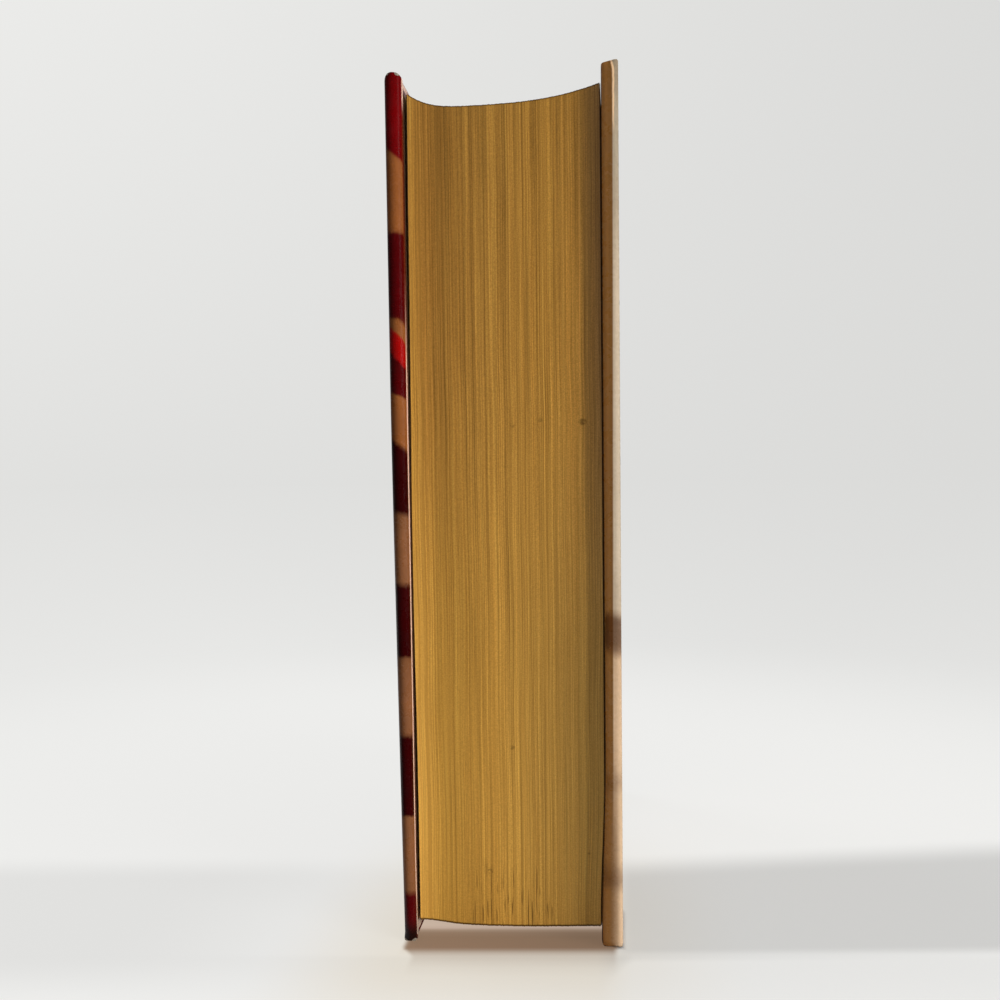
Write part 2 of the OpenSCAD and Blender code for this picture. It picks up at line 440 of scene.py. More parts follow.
class BOOK_OT_leaves(bpy.types.Operator):
    """Sews the page block: folded sections, rounded and backed, with a hollow and sagging fore edge"""

    bl_idname = "book.leaves"
    bl_label = "Page block"

    def execute(self, context):
        sizes = context.scene.book_sizes
        low = (-PAGE_HALF, LEAF_Y, LEAF_Z)
        high = (PAGE_HALF, BLOCK_HIGH[1], LEAF_TOP)
        obj = add_box("page_block_leaves", low, high)
        bpy.ops.object.mode_set(mode="EDIT")
        cut_along(obj, 0, 4, COLUMNS // 4)
        cut_along(obj, 2, 4, 9)
        cut_along(obj, 1, 24)
        bpy.ops.object.mode_set(mode="OBJECT")

        flat = points_of(obj) / MM
        across = np.clip(flat[:, 0] / PAGE_HALF, -1, 1)
        column = np.round((across + 1) * COLUMNS / 2).astype(int)
        back = 1 - (1 - (flat[:, 1] - LEAF_Y) / (BLOCK_HIGH[1] - LEAF_Y)) ** 1.7

        # Each leaf runs from the hollow to its own fold on the arc of the spine
        turn = across * SPINE_ANGLE
        fold = (across + 1) / 2 * sizes.sections
        fold_r = SPINE_R * math.sin(SPINE_ANGLE / sizes.sections)
        scallop = fold_r * (1 - np.sqrt(1 - np.clip(np.abs(2 * (fold % 1) - 1), 0, 0.96) ** 2))
        end_x = SPINE_R * np.sin(turn)
        end_y = SPINE_C + SPINE_R * np.cos(turn) - scallop
        random = np.random.RandomState(7)
        proud = random.uniform(-1, 1, COLUMNS + 1)
        proud += 0.8 * np.repeat(random.uniform(-1, 1, COLUMNS // GROUP + 1), GROUP)[: COLUMNS + 1]
        start_y = LEAF_Y + sizes.hollow / MM * slackness(flat[:, 0], sizes, 6.0, 3.6)
        start_y += 0.35 * sizes.unevenness / MM * proud[column]
        y = start_y + (end_y - start_y) * back

        # Leaves lie straight and fan out only behind the joints, where backing bent them over
        bend_from = GROOVE_Y - 7 * (1 - np.abs(across))
        bent = np.clip((y - bend_from) / (end_y - bend_from), 0, 1) ** 3
        x = flat[:, 0] + (end_x - flat[:, 0]) * bent

        # The middle leaves hang, the outer ones are held by the boards
        hang = sizes.sag / MM * slackness(flat[:, 0], sizes, 3.0, 2.5) * (1 - back)
        ragged = 0.05 * random.uniform(-1, 1, COLUMNS + 1)[column] * (1 - back)
        z = flat[:, 2] - hang + ragged

        # The outer leaves are loose at the fore edge
        for side in SIDES.values():
            x += side * np.clip((side * across - 0.6) / 0.4, 0, 1) * splay(side, y, flat[:, 2])
        set_points(obj, np.stack([x, y, z], 1) * MM)
        attribute(obj, "leaf_mm", across * PAGE_HALF)
        attribute(obj, "from_end", np.minimum(flat[:, 2] - LEAF_Z, LEAF_TOP - flat[:, 2] + 0.2))
        attribute(obj, "fore_edge", flat[:, 1] < LEAF_Y + 0.01)
        outward(obj)
        smooth(obj, 40)
        obj.data.materials.append(leaf_material(context.scene.book_colours))
        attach(obj, "text_block")
        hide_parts("page_block")
        return {"FINISHED"}


# Marks that use has left on the fore edge: place across it, height, size in millimetres, and how dark it is
MARKS = [
    (18.0, 124.9, 1.1, 0.9),
    (8.0, 125.6, 0.8, 0.6),
    (1.3, 124.5, 0.8, 0.6),
    (0.4, 46.4, 0.8, 0.7),
    (-5.4, 15.4, 0.9, 0.9),
    (19.1, 21.6, 0.7, 0.7),
]

# Painted shade and light across the fore edge, from the front cover to the back, near the head and near the
# tail
LEAF_PAINTED_SHADING = [
    [
        (0.0, (0.84, 0.8, 0.7)),
        (0.07, (0.69, 0.62, 0.54)),
        (0.4, (0.86, 0.82, 0.75)),
        (0.73, (1.05, 1.0, 0.88)),
        (0.88, (1.45, 1.38, 1.3)),
        (1.0, (0.9, 0.92, 1.6)),
    ],
    [
        (0.0, (0.96, 0.98, 0.95)),
        (0.12, (0.86, 0.88, 0.75)),
        (0.4, (0.98, 0.98, 0.88)),
        (0.73, (0.9, 0.94, 0.95)),
        (0.9, (0.96, 1.05, 1.2)),
        (1.0, (1.05, 1.18, 1.55)),
    ],
]


def marks_and_slit_shade(node, place, y, z, leaf):
    """Small brown marks of use on the fore edge, and painted shade in the slits of a few leaves that stand
    apart at the tail.
    """
    total = 0.0
    for at, height, size, strength in MARKS:
        run, rise = (leaf - at) / size, (z - height) / (size * 0.8)
        total = node("MAXIMUM", total, (run * run + rise * rise).soft(1.2, 0.2) * strength)
    ragged = node("Noise", place, 1.3, 2.0, 0.6).soft(0.34, 0.54)
    # Painted shade in the slits between a few leaves that stand apart at the tail
    split = node("Noise", node("CombineXYZ", leaf, z * 0.04, 3.0), 2.6, 1.0).soft(0.6, 0.68)
    split = split * z.soft(22.0, 8.0) * abs(leaf).soft(13.0, 7.0)
    return node("MAXIMUM", total * ragged * 0.65, split * 0.75) * y.soft(LEAF_Y + 8, LEAF_Y + 5)


def leaf_material(colours):
    """Uncoated wood-pulp paper, cut by a guillotine: matt and yellowed, with a streak for each few leaves."""
    made, node, surface = material("guillotined_pulp_paper")
    place = object_mm(node)
    y, z = [node("SeparateXYZ", place, output=i) for i in (1, 2)]
    leaf = node("Read", attribute_name="leaf_mm")
    # A leaf is 0.1 mm thick, too fine to show, so the finest streak stands for three leaves
    across = leaf + node("Noise", node("CombineXYZ", 0.0, y, z), 0.03) * 0.9
    long = node("CombineXYZ", across, z * 0.003, y * 0.003)
    short = node("CombineXYZ", across, z * 0.03, y * 0.03)
    height = node("Noise", long, 3.2, 2.0, 0.7) * 0.62 + node("Noise", short, 2.2, 3.0, 0.7) * 0.24
    height = height + node("Noise", place, 2.6, 2.0, 0.6) * 0.14
    streaks = [(0.36, colours.leaf_dark), (0.5, colours.leaf_mid), (0.66, colours.leaf_light)]
    tone = node("Ramp", height, stops=streaks)
    tone = mottled(node, tone, node("Noise", long, 0.75, 2.0, 0.55), 0.9, 1.22)
    tone = mottled(node, tone, node("Noise", long, 6.0, 1.0), 0.76, 1.24)
    tone = mottled(node, tone, node("Noise", place, 3.4, 1.0), 0.86, 1.14)
    # The first section stands a little apart from the rest, with painted shade in the slit beside it
    first = across + PAGE_HALF
    tone = node("Mix", first.soft(2.35, 2.6) * first.soft(3.1, 2.8) * 0.6, tone, colours.leaf_dark)
    tone = node("Mix", z.soft(140.0, 40.0) * 0.28, tone, colours.leaf_mid)
    # Painted shade darkens the block towards its head and lightens it towards its tail, most of all on its
    # front half
    head_shade = node("Ramp", z / CASE_HEIGHT, stops=greys([(0.0, 1.2), (0.5, 1.0), (1.0, 0.78)]))
    tone = node("Shade", 1.0, tone, head_shade)
    # Painted shade and light across the width of the fore edge
    width = node("MapRange", leaf, -PAGE_HALF, PAGE_HALF)
    head, tail = (node("Ramp", width, stops=[(at, (*tint, 1.0)) for at, tint in row]) for row in LEAF_PAINTED_SHADING)
    tone = node("Shade", 1.0, tone, node("Mix", z.soft(40.0, 160.0), tail, head))
    tone = node("Mix", marks_and_slit_shade(node, place, y, z, leaf), tone, linear("#4a3210"))
    # The sharp ends of the leaves at the fore edge are darkened, partly by handling and partly by painted
    # shade along the edges of the block
    from_end, fore_edge = (node("Read", attribute_name=name) for name in ("from_end", "fore_edge"))
    soil_and_shade = from_end.soft(0.6, 0.25) * fore_edge.soft(0.82, 0.95) * 0.85
    tone = node("Mix", soil_and_shade, tone, linear("#2e1a06"))
    relief = node("Bump", height, 0.08 * MM, 0.8)
    give(surface, Base_Color=tone, Roughness=0.78, Specular_IOR_Level=0.25, Normal=relief)
    return made


# Endpapers


def paper_sheet(name, side, corner_low, corner_high, offset, thickness):
    """Sheet that stands across X, between two (y, z) corners, its outer face at a distance offset(y, z)."""
    obj = add_sheet(name, 40, 64)
    flat = points_of(obj)
    y = corner_low[0] + (corner_high[0] - corner_low[0]) * flat[:, 0]
    z = corner_low[1] + (corner_high[1] - corner_low[1]) * flat[:, 1]
    x = side * offset(y, z)
    set_points(obj, np.stack([x, y, z], 1) * MM)
    set_print(obj, y - LEAF_Y, z)
    if side < 0:
        in_edit_mode(obj, bpy.ops.mesh.flip_normals)
    modify(obj, "SOLIDIFY", thickness=thickness * MM, offset=-1)
    outward(obj)
    return obj


def endpaper_material(colours):
    """Plain uncoated paper: matt, faintly fibrous and clouded by age, with painted shade along its fore edge.
    """
    made, node, surface = material("uncoated_endpaper")
    u, v = (node("Read", attribute_name=name) for name in ("print_u", "print_v"))
    place = node("CombineXYZ", u, v, 0.0)
    fibre = node("Noise", place, 2.2, 3.0, 0.7)
    tone = node("Mix", node("Noise", place, 0.03, 3.0) * 0.5, colours.endpaper, linear("#a9854f"))
    tone = mottled(node, tone, fibre, 0.9, 1.06)
    # Painted shade along the fore edge, as in the dark gap beside the block
    tone = node("Mix", u.soft(1.3, 0.4) * 0.9, tone, linear("#3a1710"))
    relief = node("Bump", fibre, 0.03 * MM, 0.6)
    give(surface, Base_Color=tone, Roughness=0.85, Specular_IOR_Level=0.25, Normal=relief)
    return made


class BOOK_OT_flyleaves(bpy.types.Operator):
    """Tips a free endpaper to each side of the page block"""

    bl_idname = "book.flyleaves"
    bl_label = "Flyleaves"

    def execute(self, context):
        sizes = context.scene.book_sizes
        paper = endpaper_material(context.scene.book_colours)
        thickness = sizes.endpaper / MM
        for word, side in SIDES.items():

            def offset(y, z):
                return FLYLEAF_LOW[0] + thickness + 0.04 + splay(side, y, z)

            obj = paper_sheet(
                f"{word}_flyleaf_sheet",
                side,
                (LEAF_Y + 0.1, LEAF_Z + 0.2),
                (GROOVE_Y, LEAF_TOP - 0.2),
                offset,
                thickness,
            )
            smooth(obj, 40)
            obj.data.materials.append(paper)
            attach(obj, "text_block")
            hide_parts(f"{word}_flyleaf")
        return {"FINISHED"}


class BOOK_OT_pastedowns(bpy.types.Operator):
    """Pastes the other half of each endpaper down over the turn-ins of its board"""

    bl_idname = "book.pastedowns"
    bl_label = "Pastedowns"

    def execute(self, context):
        sizes = context.scene.book_sizes
        paper = bpy.data.materials["uncoated_endpaper"]
        turn_in = sizes.turn_in / MM
        thickness = sizes.endpaper / MM
        mull_low, mull_high = box_mm("back_mull")
        for word, side in SIDES.items():

            def offset(y, z):
                inside = np.minimum.reduce([y - COVER_LOW[1], z, CASE_HEIGHT - z]) - turn_in
                over_mull = eased((y - mull_low[1] + 2.5) / 2) * eased((z - mull_low[2] + 2.5) / 2)
                over_mull *= eased((mull_high[2] + 2.5 - z) / 2)
                sunk = 0.22 * eased(inside / 1.2) * (1 - over_mull)
                return PASTEDOWN_LOW[0] + thickness + 0.08 + sunk

            obj = paper_sheet(
                f"{word}_pastedown_sheet",
                side,
                (LEAF_Y, LEAF_Z),
                (PASTEDOWN_HIGH[1], LEAF_TOP),
                offset,
                thickness,
            )
            smooth(obj, 40)
            obj.data.materials.append(paper)
            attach(obj, f"{word}_cover")
            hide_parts(f"{word}_pastedown")
        return {"FINISHED"}


# Bands


class BOOK_OT_bands(bpy.types.Operator):
    """Winds the head and tail bands, each a bead of thread sewn to a tape"""

    bl_idname = "book.bands"
    bl_label = "Head and tail bands"

    def execute(self, context):
        sizes = context.scene.book_sizes
        thread = band_material(context.scene.book_colours, sizes)
        high = box_mm("head_band")[1]
        bead_r = 1.1
        bead_z = high[2] - bead_r
        bead_path_r = SPINE_R - bead_r / 2
        half_turn = math.asin(PAGE_HALF / SPINE_R)
        head = primitive(
            "head_band_bead",
            bpy.ops.mesh.primitive_circle_add,
            vertices=16,
            radius=bead_r * MM,
            location=(0, (SPINE_C + bead_path_r) * MM, bead_z * MM),
            rotation=(0, math.pi / 2, 0),
        )
        bpy.ops.object.mode_set(mode="EDIT")
        bpy.ops.mesh.select_all(action="SELECT")
        bpy.ops.transform.rotate(
            value=half_turn, orient_axis="Z", orient_type="GLOBAL", center_override=(0, SPINE_C * MM, 0)
        )
        bpy.ops.mesh.spin(steps=200, angle=-2 * half_turn, center=(0, SPINE_C * MM, 0), axis=(0, 0, 1))
        bpy.ops.object.mode_set(mode="OBJECT")
        self.wind(head, sizes, bead_path_r, bead_z)
        self.close(head)
        tail = head.copy()
        tail.data = head.data.copy()
        tail.name = tail.data.name = "tail_band_bead"
        context.scene.collection.objects.link(tail)
        points = points_of(tail)
        points[:, 2] = CASE_HEIGHT * MM - points[:, 2]
        set_points(tail, points)
        for obj, node in ((head, "head_band"), (tail, "tail_band")):
            outward(obj)
            smooth(obj, 60)
            obj.data.materials.append(thread)
            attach(obj, "text_block")
            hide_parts(node)
        return {"FINISHED"}

    def wind(self, obj, sizes, path_r, bead_z):
        """Rounds each winding of thread, and draws the back of the bead down into its tape."""
        points = points_of(obj) / MM
        x, y, z = points.T
        y = y - SPINE_C
        turn = np.arctan2(x, y)
        out = np.hypot(x, y) - path_r
        rise = z - bead_z
        ridge = 1 - 0.09 * (1 - np.abs(np.sin(turn * path_r / (sizes.thread / MM) * math.pi)))
        back = np.clip(out, 0, None) > 0.6
        drop = np.where(back & (rise < 0), 9.0, 0.0)
        radius = path_r + out * ridge
        x, y, z = radius * np.sin(turn), SPINE_C + radius * np.cos(turn), bead_z + rise * ridge - drop
        set_points(obj, np.stack([x, y, z], 1) * MM)

    def close(self, obj):
        """Closes both cut ends of the bead."""
        active(obj)
        bpy.ops.object.mode_set(mode="EDIT")
        bpy.ops.mesh.select_mode(type="EDGE")
        bpy.ops.mesh.select_all(action="DESELECT")
        bpy.ops.mesh.select_non_manifold()
        bpy.ops.mesh.edge_face_add()
        bpy.ops.object.mode_set(mode="OBJECT")


def band_material(colours, sizes):
    """Mercerised cotton thread, wound in red and cream by turns: silky, with a round to each thread."""
    made, node, surface = material("wound_cotton_thread")
    place = object_mm(node)
    x, y = [node("SeparateXYZ", place, output=i) for i in (0, 1)]
    wind = node("ARCTAN2", x, y - SPINE_C) * (SPINE_R * MM / sizes.thread)
    stripe = node("SINE", wind * (math.pi / 2)).soft(-0.15, 0.15)
    ply = node("Noise", place, 6.0)
    tone = mottled(node, node("Mix", stripe, linear("#d8c9a6"), linear("#7c1013")), ply, 0.8, 1.1)
    relief = node("Bump", ply, 0.05 * MM, 0.6)
    give(surface, Base_Color=tone, Roughness=0.55, Sheen_Weight=0.3, Normal=relief)
    return made


# Case


def wear_at(points, side):
    """How far edges and corners are rubbed, at points in millimetres. It falls to 0 a few millimetres off."""
    y, z = points[:, 1], points[:, 2]
    from_tail = np.minimum(z, CASE_HEIGHT - z)
    from_fore = y - COVER_LOW[1]
    edge = np.exp(-np.minimum(from_tail, from_fore) / 0.7)
    corner = np.exp(-np.hypot(from_tail, from_fore) / 3.0)
    kept = 0.95 * (z > CASE_HEIGHT - 8) if side < 0 else 0.0
    return np.clip(0.4 * edge + 0.4 * corner, 0, 1) * (1 - kept)


def print_map(obj, side):
    """Lays the print round a cover: U from its fore edge and V from the tail, both on round the edges."""
    points = points_of(obj) / MM
    thickness = COVER_HIGH[0] - COVER_LOW[0]
    depth = COVER_HIGH[0] - side * points[:, 0]
    from_fore = points[:, 1] - COVER_LOW[1]
    u = np.where(depth > thickness / 2, -from_fore, from_fore) - depth
    v = points[:, 2]
    set_print(obj, u, v)
    from_edge = np.minimum.reduce([from_fore, v, CASE_HEIGHT - v])
    attribute(obj, "turned_in", np.where(depth > thickness - 0.15, np.maximum(from_edge, 0.0), 0.0))


def edge_radius(side):
    """Radius of the paper over the edges of a board: use has rounded the front more than the back."""
    return 1.89 if side < 0 else 1.4


def cover_shell(word, side, sizes):
    """Printed paper round one board: outside, three edges and the turn-ins, with the inside left open."""
    left, right = sorted((side * COVER_LOW[0], side * COVER_HIGH[0]))
    obj = add_box(f"{word}_cover_print", (left, *COVER_LOW[1:]), (right, *COVER_HIGH[1:]))
    bpy.ops.object.mode_set(mode="EDIT")

    def fore_corner(edge):
        run = edge.verts[1].co - edge.verts[0].co
        return abs(run.x) > 0.9 * run.length and edge.verts[0].co.y < 0

    pick(obj, "EDGE", fore_corner)
    bpy.ops.mesh.bevel(offset=CORNER_R * MM, offset_type="OFFSET", segments=8, affect="EDGES")
    pick(obj, "EDGE", lambda edge: edge.is_manifold and edge.calc_face_angle() > 1.0)
    radius = edge_radius(side) * MM
    bpy.ops.mesh.bevel(offset=radius, offset_type="OFFSET", segments=7, affect="EDGES", clamp_overlap=True)

    # Cuts across the faces let the board bow, and mark the limits of the turn-ins
    turn_in = sizes.turn_in / MM
    fore = COVER_LOW[1]
    ys = [fore + 3.5, fore + turn_in, *np.linspace(fore + 6, COVER_HIGH[1] - 6, 15)]
    cut_across(ys, [turn_in, CASE_HEIGHT - turn_in, *np.linspace(6, CASE_HEIGHT - 6, 25)])

    def open_inside(face):
        middle = face.calc_center_median() / MM
        return (
            face.normal.x * side < -0.99
            and middle.y > COVER_LOW[1] + turn_in
            and turn_in < middle.z < CASE_HEIGHT - turn_in
            and middle.y < COVER_HIGH[1] - 2
        )

    pick(obj, "FACE", open_inside)
    bpy.ops.mesh.delete(type="FACE")
    bpy.ops.object.mode_set(mode="OBJECT")
    return obj


def sharper(a, b):
    """Factor that moves a point of a round corner out to a nearly square one: a and b are 1 on its faces."""
    r = np.maximum(np.hypot(a, b), 1e-6)
    factor = np.maximum((a / r) ** 8 + (b / r) ** 8, 1e-6) ** (-1 / 8)
    return np.where((a > 0) & (b > 0), factor, 1.0)


def warp(obj, side):
    """Shape that use gave a cover: its corners, a swollen fore edge and a tail corner bent inwards."""
    x, y, z = (points_of(obj) / MM).T
    low, high = COVER_LOW, COVER_HIGH
    from_fore = y - low[1]
    from_end = np.minimum(z, CASE_HEIGHT - z)
    up = np.where(z < CASE_HEIGHT / 2, -1, 1)
    outer = (side * x - low[0]) / (high[0] - low[0])
    inside = np.minimum.reduce([from_fore, from_end, high[1] - y])
    uneven = 1 + wander(z / 25, 11 + side) * wander(y / 25, 21 + side)
    x = x - side * outer * eased(inside / 20) * 0.05 * uneven

    # The bevel made the corners round, but all except the tail of the back are sharper
    a = np.clip(1 - from_fore / CORNER_R, 0, 1)
    b = np.clip(1 - from_end / CORNER_R, 0, 1)
    grow = np.where((side < 0) | (z > CASE_HEIGHT / 2), sharper(a, b), 1.0)
    y = y - a * (grow - 1) * CORNER_R
    z = z + up * b * (grow - 1) * CORNER_R

    # So are the edges of the tail, and those of the head on the back
    edge_r = edge_radius(side)
    off = side * x - (low[0] + high[0]) / 2
    a = np.clip((np.abs(off) - (high[0] - low[0]) / 2 + edge_r) / edge_r, 0, 1)
    b = np.clip(1 - np.minimum(z, CASE_HEIGHT - z) / edge_r, 0, 1)
    grow = np.where((side > 0) | (z < CASE_HEIGHT / 2), sharper(a, b), 1.0)
    x = x + side * np.sign(off) * a * (grow - 1) * edge_r
    z = z + up * b * (grow - 1) * edge_r

    # Board and turn-ins are swollen where the square stands free of the leaves
    free = 1 - eased((y - COVER_LOW[1] - 1.9) / 1.5)
    if side < 0:
        swell = 0.3 + 0.15 * (1 - eased(from_end / 25))
    else:
        swell = 0.12 + 1.1 * (1 - eased(z / 48))
    x = x - side * np.clip(1 - 2 * outer, 0, 1) * free * swell

    # The tail of the front is bent inwards, and the head corner of the back slopes down to its inside
    near_fore = np.exp(-(y - COVER_LOW[1]) / 40)
    if side < 0:
        x = x + outer * near_fore * 1.15 * np.clip(1 - z / 130, 0, 1) ** 1.3
    else:
        z = z - 0.9 * (1 - outer) * np.exp(-(y - COVER_LOW[1]) / 14) * np.exp(-(CASE_HEIGHT - z) / 5)
    set_points(obj, np.stack([x, y, z], 1) * MM)


class BOOK_OT_boards(bpy.types.Operator):
    """Cuts the grey boards, eased along their edges, to lie inside the covers"""

    bl_idname = "book.boards"
    bl_label = "Boards"

    def execute(self, context):
        finish = board_material(context.scene.book_colours)
        for word, side in SIDES.items():
            # Room for the paper between the board and the outside of the cover
            gap = 0.36
            left, right = sorted((side * BOARD_LOW[0], side * (COVER_HIGH[0] - gap)))
            low = (left, COVER_LOW[1] + gap, COVER_LOW[2] + gap)
            obj = add_box(f"{word}_board_core", low, (right, BOARD_HIGH[1], COVER_HIGH[2] - gap))
            bpy.ops.object.mode_set(mode="EDIT")
            pick(obj, "EDGE", lambda edge: edge.verts[0].co.y + edge.verts[1].co.y < 0.09)
            bpy.ops.mesh.bevel(offset=1.2 * MM, offset_type="OFFSET", segments=4, affect="EDGES")
            cut_across(np.linspace(-62, 45, 16), np.linspace(6, CASE_HEIGHT - 6, 25))
            bpy.ops.object.mode_set(mode="OBJECT")
            warp(obj, side)
            outward(obj)
            smooth(obj, 35)
            obj.data.materials.append(finish)
            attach(obj, f"{word}_cover")
            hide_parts(f"{word}_board")
        return {"FINISHED"}


class BOOK_OT_covers(bpy.types.Operator):
    """Covers both boards in printed and laminated paper, rounded over the edges and turned in"""

    bl_idname = "book.covers"
    bl_label = "Covers"

    def execute(self, context):
        sizes = context.scene.book_sizes
        colours = context.scene.book_colours
        prints = {"front": front_print(colours), "back": back_print(colours)}
        for word, side in SIDES.items():
            obj = cover_shell(word, side, sizes)
            print_map(obj, side)
            attribute(obj, "wear", wear_at(points_of(obj) / MM, side))
            warp(obj, side)
            modify(obj, "SOLIDIFY", thickness=sizes.paper, offset=-1)
            smooth(obj, 35)
            obj.data.materials.append(prints[word])
            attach(obj, f"{word}_cover")
            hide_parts(f"{word}_case_paper")
        return {"FINISHED"}


def printed_paper(name):
    """Material of gloss-laminated art paper, with the places on its sheet in millimetres."""
    made, node, surface = material(name)
    u, v = (node("Read", attribute_name=name) for name in ("print_u", "print_v"))
    return made, node, surface, u, v, node("CombineXYZ", u, v, 0.0)


def laminate(node, surface, tone, sheet):
    """Film over the ink: glossy, a little wavy, dulled by fine scuffs, and rubbed through on the edges."""
    wear = node("Read", attribute_name="wear")
    rubbed_and_lit = (wear * 0.5 + node("Noise", sheet, 0.9, 4.0, 0.7)).soft(1.24, 1.38)
    tone = node("Mix", rubbed_and_lit, tone, linear("#c7b294"))
    gloss = node("MapRange", node("Noise", sheet, 0.25, 5.0, 0.75), 0.35, 0.75, 0.2, 0.42)
    relief = node("Bump", node("Noise", sheet, 4.0) * 0.04 + node("Noise", sheet, 0.16), 0.12 * MM, 0.5)
    give(surface, Base_Color=tone, Roughness=rubbed_and_lit * 0.35 + gloss, Specular_IOR_Level=0.3, Normal=relief)


# Heights in millimetres at which the bands of the front print cross its fore edge, and the colour above each
BANDS = [
    (0.0, "red_low"),
    (12.1, "tan_dull"),
    (30.9, "red_dark"),
    (50.6, "tan_dull"),
    (69.4, "red_dark"),
    (87.0, "tan_dull"),
    (103.8, "red_dark"),
    (120.0, "tan"),
    (131.5, "red_low"),
    (139.8, "red_bright"),
    (145.9, "tan"),
    (149.4, "red_low"),
    (169.6, "tan"),
    (186.9, "red"),
]

# Slant of the band edges at the fore edge, by height in millimetres
SLANTS = [(99, 0.05), (119, 0.6), (131, 0.25), (140, 1.0), (146, 0.9), (150, 0.25), (169, 0.05), (186, 0.65)]

# Painted shade round the rounded fore edge of the front, darkest on its outer side, from 6 mm inside it to 8
# mm outside
PAINTED_EDGE_SHADE = [(0.07, 0.8), (0.235, 0.95), (0.31, 0.75), (0.36, 0.58)]
PAINTED_EDGE_SHADE += [(0.42, 0.42), (0.5, 0.32), (0.65, 0.7), (1.0, 1.0)]


def band_tone(node, v, colours):
    """Bands of the front print, one above the other, with edges as soft as the printed ones."""
    soft = 0.3
    stops = []
    for i, (height, word) in enumerate(BANDS):
        if i:
            stops.append(((height - soft) / CASE_HEIGHT, getattr(colours, BANDS[i - 1][1])))
        stops.append((max(height + soft, 0.0) / CASE_HEIGHT, getattr(colours, word)))
    return node("Ramp", v / CASE_HEIGHT, stops=stops)


def turned_in(node, tone, rubbed_and_lit, printed):
    """Turn-in on the inside of a board: printed, with a pale line along its fold that is painted light."""
    inner = node("Read", attribute_name="turned_in")
    under = node("Mix", inner.soft(3.0, 2.5) * rubbed_and_lit, printed, linear("#e2bca8"))
    return node("Mix", inner.soft(0.5, 1.0), tone, under)


def front_print(colours):
    """Gloss-laminated art paper with level bands in red and tan that wave across the cover."""
    made, node, surface, u, v, sheet = printed_paper("gloss_laminated_print_front")
    # The waves are still at the fore edge, where the bands have their own heights and a slight slant
    swing = node("SINE", (u + 1.9) * (2 * math.pi / 105)) * u.soft(-1.0, 6.0)
    curl = (node("Noise", sheet, 0.055, 1.0) - 0.5) * 16.0 + (node("Noise", sheet, 0.12, 1.0) - 0.5) * 6.0
    face = node("Clamp", u + 2.3, -2.4, 2.4)
    slants = greys([(height / CASE_HEIGHT, value) for height, value in SLANTS])
    slant = node("Ramp", v / CASE_HEIGHT, stops=slants)
    fray = (node("Noise", sheet, 0.5, 3.0, 0.6) - 0.5) * 1.1
    bent = v + curl * u.soft(1.0, 26.0) + swing * 6.0 - face * slant + fray
    tone = mottled(node, band_tone(node, bent, colours), node("Noise", sheet, 0.08, 3.0, 0.6), 0.8, 1.1)
    # Painted shade darkens the outer half of the fore edge, and less so near the tail
    edge_shade = node("Ramp", node("MapRange", u, -6.0, 8.0), stops=greys(PAINTED_EDGE_SHADE))
    edge_shade_at_tail = node("Ramp", edge_shade, stops=greys([(0.0, 0.3), (1.0, 1.0)]))
    tone = node("Shade", 1.0, tone, node("Mix", v.soft(90.0, 20.0), edge_shade, edge_shade_at_tail))
    # Painted light makes a pale line along the fold at the fore edge and on the head corner; the turn-in is
    # paler at the tail
    rubbed_and_lit = v.soft(162.0, 130.0) * v.soft(2.0, 14.0)
    rubbed_and_lit = node("MAXIMUM", rubbed_and_lit, v.soft(196.0, 201.0) * u.soft(-22.0, -9.0))
    printed = node("Mix", v.soft(9.0, 5.0), linear("#5a140c"), linear("#c4ab98"))
    tone = turned_in(node, tone, rubbed_and_lit, printed)
    # The tail of the fore edge is darkened nearly to black, partly soiling from standing on a shelf and partly
    # painted contact shade
    soil_and_shade = v.soft(6.0, 1.5) * u.soft(5.0, 1.0) * u.soft(-6.0, -4.2) * 0.93
    laminate(node, surface, node("Mix", soil_and_shade, tone, linear("#0c0302")), sheet)
    return made


# Heights in millimetres of the darker patches at the fore edge of the back print, and how strong each is
PATCHES = [(15, 0), (19, 0.45), (24, 0), (38, 0), (42, 0.3), (47, 0), (71, 0), (75, 0.8), (80, 0.8), (83, 0)]

# Painted shade and light on the brown round the fore edge of the back print, over the 5 mm in from its outer
# face
BROWN_EDGE_SHADE = [(0.3, 0.72), (0.45, 0.76), (0.58, 1.1), (0.7, 1.4), (0.8, 1.5)]


